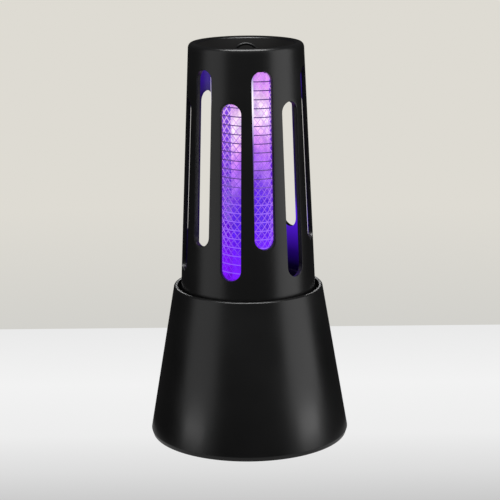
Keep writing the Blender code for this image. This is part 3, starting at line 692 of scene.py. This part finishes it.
def capsule(centre_deg, low, high, arc_steps, side_steps):
    """(azimuth in degrees, z) around a round-ended slot: bottom left to right, up, back and down."""
    radius = SLOT_WIDTH / 2
    points = []
    for i in range(arc_steps):
        angle = math.pi + math.pi * i / arc_steps
        points.append((radius * math.cos(angle), low + radius + radius * math.sin(angle)))
    for i in range(side_steps):
        points.append((radius, low + radius + (high - low - 2 * radius) * i / side_steps))
    for i in range(arc_steps):
        angle = math.pi * i / arc_steps
        points.append((radius * math.cos(angle), high - radius + radius * math.sin(angle)))
    for i in range(side_steps):
        points.append((-radius, high - radius - (high - low - 2 * radius) * i / side_steps))
    return [(centre_deg + math.degrees(x / shroud_radius(z)), z) for x, z in points]


def sector_edge(centre_deg, arc_steps, side_steps):
    """The matching points around one sector of the slotted zone."""
    half = 180.0 / SLOT_COUNT
    low, high = SLOT_ZONE_Z
    points = [(centre_deg - half + 2 * half * i / arc_steps, low) for i in range(arc_steps)]
    points += [(centre_deg + half, low + (high - low) * i / side_steps) for i in range(side_steps)]
    points += [(centre_deg + half - 2 * half * i / arc_steps, high) for i in range(arc_steps)]
    points += [(centre_deg - half, high - (high - low) * i / side_steps) for i in range(side_steps)]
    return points


def make_shroud(materials):
    arc_steps, side_steps, row_steps = 16, 56, 6
    around = SLOT_COUNT * arc_steps
    first = SLOT_FIRST_DEG - 180.0 / SLOT_COUNT
    bm = bmesh.new()
    for k in range(SLOT_COUNT):
        centre = SLOT_FIRST_DEG + 360.0 / SLOT_COUNT * k
        low, high = LOW_SLOT_Z if k % 2 == 0 else HIGH_SLOT_Z
        inner = capsule(centre, low, high, arc_steps, side_steps)
        outer = sector_edge(centre, arc_steps, side_steps)
        rows = []
        for j in range(row_steps + 1):
            share = (j / row_steps) ** 1.3
            row = []
            for (az_in, z_in), (az_out, z_out) in zip(inner, outer):
                z = z_in + (z_out - z_in) * share
                row.append(at_azimuth(shroud_radius(z), az_in + (az_out - az_in) * share, z))
            rows.append(row)
        skin(bm, [[bm.verts.new(point) for point in row] for row in rows])
    skirt = [SHROUD_LOW.z + (SLOT_ZONE_Z[0] - SHROUD_LOW.z) * i / 4 for i in range(5)]
    neck_top = SHROUD_HIGH.z - RIM_R
    neck = [SLOT_ZONE_Z[1] + (neck_top - SLOT_ZONE_Z[1]) * i / 3 for i in range(4)]
    profile = [(shroud_radius(z), z) for z in neck]
    for i in range(1, 9):
        angle = math.radians(2.5 + 87.5 * i / 8)
        rim_r = SHROUD_TOP_R - RIM_R + RIM_R * math.cos(angle)
        profile.append((rim_r, neck_top + RIM_R * math.sin(angle)))
    profile += [(RIM_INNER_R + 0.6 * MM, SHROUD_HIGH.z - 0.25 * MM), (RIM_INNER_R, DISH_EDGE_Z)]
    for line in ([(shroud_radius(z), z) for z in skirt], profile):
        rings = []
        for r, z in line:
            ring = [at_azimuth(r, first + 360.0 * i / around, z) for i in range(around)]
            rings.append([bm.verts.new(point) for point in ring])
        skin(bm, rings)
    bmesh.ops.remove_doubles(bm, verts=bm.verts, dist=0.002 * MM)
    shroud = object_from("shroud_cover", bm)
    wall = shroud.modifiers.new("Wall", "SOLIDIFY")
    wall.thickness = SHROUD_WALL
    wall.offset = -1.0
    wall.use_even_offset = True
    edges = shroud.modifiers.new("Edges", "BEVEL")
    edges.width = 0.22 * MM
    edges.segments = 3
    edges.limit_method = "ANGLE"
    edges.angle_limit = math.radians(50)
    bpy.context.view_layer.update()
    apply_modifiers(shroud, 45)
    dress(shroud, materials["shroud"], "shroud", "black_plastic", "shroud")


def make_cap(materials):
    edge_r = RIM_INNER_R - CAP_GAP
    dish = []
    for i in range(13):
        share = i / 12
        r = WELL_R + 0.8 * MM + (edge_r - WELL_R - 0.8 * MM) * share
        dish.append((r, DISH_BOTTOM_Z + (DISH_EDGE_Z - DISH_BOTTOM_Z) * share**1.6))
    outline = [(0, WELL_Z), (WELL_R - 0.5 * MM, WELL_Z), (WELL_R, WELL_Z + 0.5 * MM)]
    outline += [(WELL_R, DISH_BOTTOM_Z - 0.8 * MM), (WELL_R + 0.25 * MM, DISH_BOTTOM_Z - 0.2 * MM)]
    outline += dish
    outline += [(edge_r, DISH_EDGE_Z - 1.0 * MM), (WELL_R + 2 * MM, DISH_BOTTOM_Z - 1.5 * MM)]
    outline += [(WELL_R + 1.5 * MM, CAP_LOW.z), (0, CAP_LOW.z)]
    cap = lathe("cap_dish", outline, 192)
    dress(cap, materials["cap"], "shroud", "black_plastic", "top_cap")


def make_lugs(materials):
    """The two lugs in the cap's well that hold the loop's pins."""
    pivot_z = centre_of("loop_pin_1").z
    height = pivot_z + LUG_ABOVE_PIVOT - WELL_Z + LUG_ROOT
    for name, x in (("loop_lug_right", LUG_X), ("loop_lug_left", -LUG_X)):
        bm = bmesh.new()
        place = Matrix.Translation((x, 0, WELL_Z - LUG_ROOT + height / 2))
        bmesh.ops.create_cube(bm, size=1.0, matrix=place @ Matrix.Diagonal((*LUG_SIZE, height, 1)))
        top = []
        for edge in bm.edges:
            first, second = (vert.co for vert in edge.verts)
            if min(first.z, second.z) > pivot_z and abs(first.y - second.y) < LUG_SIZE[1] / 2:
                top.append(edge)
        bmesh.ops.bevel(bm, geom=top, offset=1.2 * MM, segments=6, affect="EDGES", profile=0.5)
        lug = object_from(name, bm)
        middle = Vector((x, 0, pivot_z))
        reach = Vector((1.5 * MM, 0, 0))
        cut(lug, [rod_between(middle - reach, middle + reach, PIN_HOLE_R, 24)])
        lug.data.materials.append(materials["case"])
        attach(lug, "shroud")


def make_loop(materials):
    """A half ring of wire with an eye at each end for its pin."""
    pivot = Vector((0, 0, centre_of("loop_pin_1").z))
    steps, sides = 48, 16
    bm = bmesh.new()
    rings = []
    for i in range(steps + 1):
        angle = math.pi * i / steps
        out = Vector((math.cos(angle), 0, math.sin(angle)))
        ring = []
        for k in range(sides):
            turn = 2 * math.pi * k / sides
            away = math.cos(turn) * out + math.sin(turn) * Vector((0, 1, 0))
            ring.append(bm.verts.new(pivot + LOOP_R * out + LOOP_WIRE_R * away))
        rings.append(ring)
    skin(bm, rings)
    bm.faces.new(rings[0][::-1])
    bm.faces.new(rings[-1])
    hoop = object_from("hanging_hoop", bm)
    half_eye, half_bore = Vector((0.7 * MM, 0, 0)), Vector((1.4 * MM, 0, 0))
    ends = (pivot + Vector((LOOP_R, 0, 0)), pivot - Vector((LOOP_R, 0, 0)))
    for end in ends:
        eye = rod_between(end - half_eye, end + half_eye, LOOP_EYE_R, 32)
        joined = hoop.modifiers.new("eye", "BOOLEAN")
        joined.object = eye
        joined.operation = "UNION"
        bpy.context.view_layer.update()
        apply_modifiers(hoop)
        bpy.data.objects.remove(eye, do_unlink=True)
    cut(hoop, [rod_between(end - half_bore, end + half_bore, PIN_HOLE_R, 24) for end in ends])
    dress(hoop, materials["case"], "hang_loop", "black_plastic", "hang_loop")


# ---- Grid and lamp ----
def make_coil(materials):
    low, high = GRID_LOW.z + COIL_WIRE_R, GRID_HIGH.z - COIL_WIRE_R
    steps = int((high - low) / COIL_PITCH * 48)
    path = []
    for i in range(steps + 1):
        z = low + (high - low) * i / steps
        azimuth = 30.0 - 360.0 * (z - COIL_PHASE_Z) / COIL_PITCH
        path.append(at_azimuth(COIL_R, azimuth, z))
    coil = tube_along("electrode_coil", [path], COIL_WIRE_R, 8)
    dress(coil, materials["wire"], "base", "wire", "outer_grid")


def make_net(materials):
    low, high = LATTICE_LOW.z + NET_WIRE_R, LATTICE_HIGH.z - NET_WIRE_R
    turn_deg = 360.0 / NET_STARTS
    steps = 72
    paths = []
    for direction in (1, -1):
        for k in range(NET_STARTS):
            path = []
            for i in range(steps + 1):
                z = low + (high - low) * i / steps
                azimuth = turn_deg * (k + direction * (z - low) / NET_CELL_HEIGHT)
                path.append(at_azimuth(NET_R + direction * NET_LAYER, azimuth, z))
            paths.append(path)
    net = tube_along("electrode_net", paths, NET_WIRE_R, 5)
    dress(net, materials["net"], "base", "wire", "inner_grid")


def make_tubes(materials):
    for name, node, material in (
        ("lamp_core", "lamp_tube", "lamp"),
        ("light_sleeve", "light_guide", "sleeve"),
    ):
        low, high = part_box(node)
        radius = (high.x - low.x) / 2
        outline = filleted(
            (
                (radius - TUBE_WALL, high.z, 0.2 * MM),
                (radius, high.z, 0.3 * MM),
                (radius, low.z, 0.3 * MM),
                (radius - TUBE_WALL, low.z, 0.2 * MM),
            )
        )
        tube = lathe(name, outline, 96)
        tube.data.transform(Matrix.Translation((centre_of(node).x, 0, 0)))
        dress(tube, materials[material], "base", "lamp", node)


def make_posts(materials):
    for i in POSTS:
        low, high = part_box(f"grid_post_{i}")
        middle = (low + high) / 2
        path = [Vector((middle.x, middle.y, z)) for z in (low.z, high.z)]
        post = tube_along(f"grid_rod_{i}", [path], POST_R, 12)
        dress(post, materials["post"], "base", "wire", f"grid_post_{i}")


def make_holders(materials):
    for name, node in (("grid_foot", "lower_grid_holder"), ("grid_head", "upper_grid_holder")):
        low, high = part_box(node)
        radius = (high.x - low.x) / 2
        outline = filleted(
            ((0, high.z, 0), (radius, high.z, 0.4 * MM), (radius, low.z, 0.3 * MM), (0, low.z, 0))
        )
        holder = lathe(name, outline, 96)
        holes = []
        for i in POSTS:
            post_low, post_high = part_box(f"grid_post_{i}")
            middle = (post_low + post_high) / 2
            blind = node == "lower_grid_holder"
            start = Vector((middle.x, middle.y, post_low.z - 0.2 * MM if blind else low.z - 1.0 * MM))
            end = Vector((middle.x, middle.y, high.z + 1.0 * MM))
            holes.append(rod_between(start, end, POST_HOLE_R, 16))
        cut(holder, holes)
        dress(holder, materials["moulding"], "base", "dark_plastic", node)


def make_deck(materials):
    low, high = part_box("base_deck")
    corners = (
        (DECK_HOLE_R, DECK_TOP_Z, 0.3 * MM),
        (SPIGOT_R - SPIGOT_WALL, DECK_TOP_Z, 0.6 * MM),
        (SPIGOT_R - SPIGOT_WALL, high.z, 0.3 * MM),
        (SPIGOT_R, high.z, 0.3 * MM),
        (SPIGOT_R, DECK_TOP_Z, 0.3 * MM),
        (high.x, DECK_TOP_Z, 0.3 * MM),
        (high.x, low.z, 0.3 * MM),
        (DECK_HOLE_R, low.z, 0.3 * MM),
    )
    deck = lathe("insect_tray", filleted(corners), 144)
    dress(deck, materials["moulding"], "base", "dark_plastic", "base_deck")


def make_seal(materials):
    low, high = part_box("seal_ring")
    corners = [(r, z, 0.3 * MM) for r, z in (
        (SEAL_INNER_R, high.z),
        (high.x, high.z),
        (high.x, low.z),
        (SEAL_INNER_R, low.z),
    )]
    seal = lathe("shroud_seal", filleted(corners), 144)
    dress(seal, materials["rubber"], "shroud_lift", "rubber", "seal_ring")


# ---- CAD pieces that keep their shape ----
def finish_cad_pieces(materials):
    slot_material = {
        "black_plastic": "case",
        "dark_plastic": "moulding",
        "white_plastic": "white",
        "rubber": "rubber",
        "red_lead": "red",
        "steel": "steel",
        "wire": "wire",
        "board_green": "board",
        "lamp": "lamp",
        "cell_wrap": "wrap",
        "component_yellow": "yellow",
        "clear_pipe": "clear",
    }
    slots = {row["node"]: row["material_slot"] for row in frame["record"]["subparts"]}
    for name, node in frame["nodes"].items():
        material = materials[slot_material[slots[name]]]
        node.data.materials.clear()
        node.data.materials.append(material)
        node.data.shade_smooth()
        node.data.set_sharp_from_angle(angle=math.radians(SHARP_DEG))


# ---- Stage ----
def make_camera():
    """A long lens, from in front and above, tipped down at the object."""
    data = bpy.data.cameras.new("camera")
    data.lens = LENS_MM
    data.sensor_width = 36.0
    data.clip_start = 0.01
    data.clip_end = 50.0
    camera = bpy.data.objects.new("camera", data)
    bpy.context.scene.collection.objects.link(camera)
    pan = Matrix.Rotation(math.radians(CAMERA_PAN_DEG), 4, "Z")
    tilt = Matrix.Rotation(math.radians(90 - CAMERA_DOWN_DEG), 4, "X")
    roll = Matrix.Rotation(math.radians(CAMERA_ROLL_DEG), 4, "Z")
    camera.matrix_world = Matrix.Translation(CAMERA_PLACE) @ pan @ tilt @ roll
    bpy.context.scene.camera = camera


def area_light(name, place, target, size, power):
    data = bpy.data.lights.new(name, "AREA")
    data.shape = "RECTANGLE"
    data.size, data.size_y = size
    data.energy = power
    light = bpy.data.objects.new(name, data)
    bpy.context.scene.collection.objects.link(light)
    place, target = Vector(place), Vector(target)
    light.rotation_euler = (target - place).to_track_quat("-Z", "Y").to_euler()
    light.location = place
    light.visible_camera = False
    return light


def make_lights():
    """Two tall strips and soft light from above, with low panels and a rear light for the base alone."""
    base_only = bpy.data.collections.new("base_only")
    for name in ("base_casing", "button_cap", "charge_light_pipe", "usb_port"):
        base_only.objects.link(bpy.data.objects[name])
    for side, azimuth, near_azimuth, size, power, near_power in (
        ("right", 73, 62, 0.66, 3.35, 0.0065),
        ("left", -65, -56, 0.64, 1.75, 0.0042),
    ):
        far = at_azimuth(0.75, azimuth, 0.06)
        area_light(f"strip_{side}", far, (0, 0, 0.06), (size, 1.2), power)
        near = at_azimuth(0.113, near_azimuth, 0.007)
        foot = at_azimuth(0.044, azimuth / 2, 0.007)
        panel = area_light(f"panel_{side}", near, foot, (0.045, 0.012), near_power)
        panel.light_linking.receiver_collection = base_only
    area_light("overhead", (0, -0.22, 0.90), (0, 0, 0.10), (0.8, 0.25), 9.0)
    behind = area_light("behind", (0, 0.72, 0.58), (0, 0, 0.06), (0.5, 0.3), 4.0)
    behind.light_linking.receiver_collection = base_only


def greys(*stops):
    return [(place, (level,) * 3) for place, level in stops]


def make_world():
    """A plain warm-grey wall to the camera, and a dim room, lighter in front, to everything else."""
    world = bpy.data.worlds.new("studio")
    bpy.context.scene.world = world
    world.use_nodes = True
    tree = world.node_tree
    tree.nodes.clear()
    direction = place_axes(tree, "Generated")
    wall_stops = ((0.0, (0.638, 0.631, 0.599)), (1.0, (0.730, 0.708, 0.651)))
    wall = ramp(tree, mapped(tree, direction["Z"], -0.28, -0.21), wall_stops)
    room_stops = greys((0.0, 0.10), (0.35, 0.025), (0.5, 0.018))
    room = ramp(tree, mapped(tree, direction["Y"], -1.0, 1.0), room_stops)
    path = tree.nodes.new("ShaderNodeLightPath")
    background = tree.nodes.new("ShaderNodeBackground")
    colour = mixed(tree, path.outputs["Is Camera Ray"], room, wall)
    tree.links.new(colour, background.inputs["Color"])
    output = tree.nodes.new("ShaderNodeOutputWorld")
    tree.links.new(background.outputs["Background"], output.inputs["Surface"])


def make_floor():
    """A pale slab whose far edge gives the horizon, paler to the camera than to the object."""
    bm = bmesh.new()
    bmesh.ops.create_grid(bm, x_segments=1, y_segments=1, size=FLOOR_HALF)
    floor = object_from("floor", bm)
    material, tree, shader = node_material("floor_pale")
    shades = greys((0.0, 0.35), (0.18, 0.52), (0.34, 0.72), (0.48, 0.85), (0.7, 0.89), (1.0, 0.82))
    seen = ramp(tree, mapped(tree, place_axes(tree)["Y"], -FLOOR_HALF, FLOOR_HALF), shades)
    coords = tree.nodes.new("ShaderNodeTexCoord")
    distance = vector_maths(tree, "LENGTH", coords.outputs["Object"]).outputs["Value"]
    # Painted light for all but camera rays: a bright ring on the floor round the base's foot, dim beyond
    # it.
    bounce = ramp(tree, mapped(tree, distance, 0.046, 0.056), greys((0.0, 0.40), (1.0, 0.02)))
    path = tree.nodes.new("ShaderNodeLightPath")
    emit(tree, mixed(tree, path.outputs["Is Camera Ray"], bounce, seen), 1.0)
    shader.inputs["Base Color"].default_value = (0, 0, 0, 1)
    shader.inputs["Roughness"].default_value = 1.0
    shader.inputs["Specular IOR Level"].default_value = 0.0
    floor.data.materials.append(material)


def main():
    materials = make_materials()
    make_camera()
    finish_cad_pieces(materials)
    make_base(materials)
    make_button(materials)
    make_shroud(materials)
    make_cap(materials)
    make_lugs(materials)
    make_loop(materials)
    make_coil(materials)
    make_net(materials)
    make_tubes(materials)
    make_posts(materials)
    make_holders(materials)
    make_deck(materials)
    make_seal(materials)
    make_floor()
    make_world()
    make_lights()
    scene = bpy.context.scene
    scene.view_settings.view_transform = "Standard"


main()
